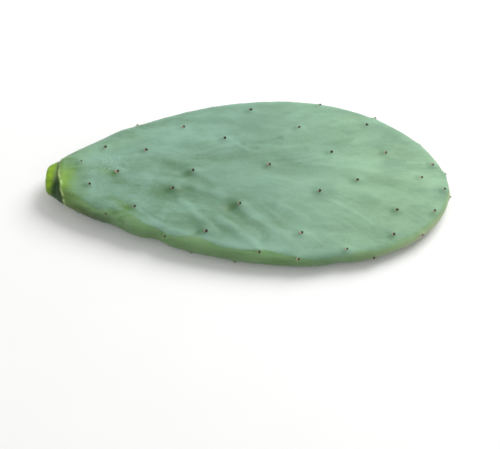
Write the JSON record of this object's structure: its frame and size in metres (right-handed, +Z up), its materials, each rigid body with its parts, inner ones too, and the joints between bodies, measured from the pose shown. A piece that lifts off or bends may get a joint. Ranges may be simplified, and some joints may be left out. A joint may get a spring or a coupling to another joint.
{
  "type": "prickly pear cactus pad",
  "caption": "Single egg-shaped spineless prickly pear pad, cut at its neck and lying flat, with small areoles in spiral rows on both faces and the rim.",
  "frame": {"origin": "middle of the bounding box at its bottom, on the surface the pad lies on", "axes": "+X along the pad from the cut neck to the tip, +Y across the blade, +Z up through its thickness"},
  "size_m": [0.3532, 0.179, 0.029],
  "materials": {
    "skin": "waxy blue-green cactus skin with a pale bloom, greener on the rim and yellow-green at the neck",
    "felt": "short cream wool of the areoles",
    "glochids": "dark brown tufts of hair-fine bristles"
  },
  "bodies": {
    "root": {"pad": "skin"}
  },
  "joints": []
}
